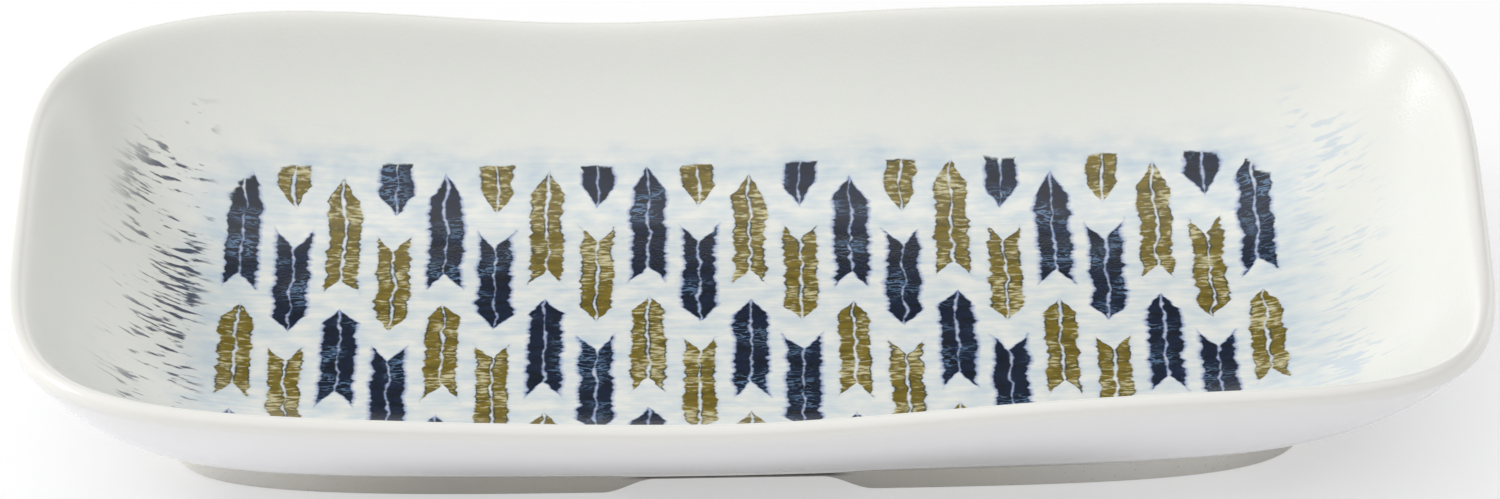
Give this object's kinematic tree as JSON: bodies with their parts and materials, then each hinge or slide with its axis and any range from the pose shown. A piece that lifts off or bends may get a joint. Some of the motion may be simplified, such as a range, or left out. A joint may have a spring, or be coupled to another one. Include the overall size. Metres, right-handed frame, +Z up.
{
  "type": "deep platter",
  "caption": "Deep rectangular ceramic serving platter with soft corners, a wavy rounded lip, a dyed-pattern well and a notched foot ring.",
  "frame": {"origin": "on the standing plane, under the middle of the rim", "axes": "+X along the long side, -Y towards the front, +Z up out of the well"},
  "size_m": [0.35, 0.2, 0.0475],
  "materials": {
    "fired_clay": "fired, matt, sealed under the glaze",
    "bare_foot": "bare fired clay, ground smooth on the standing face",
    "print_colour": "navy, ochre and pale blue ceramic colours under the glaze",
    "clear_glaze": "satin gloss over the white well and its print",
    "white_glaze": "gloss white"
  },
  "bodies": {
    "root": {"clay_body": "fired_clay", "foot_ring": "bare_foot", "print_film": "print_colour", "inner_glaze": "clear_glaze", "outer_glaze": "white_glaze", "base_glaze": "white_glaze"}
  },
  "joints": []
}
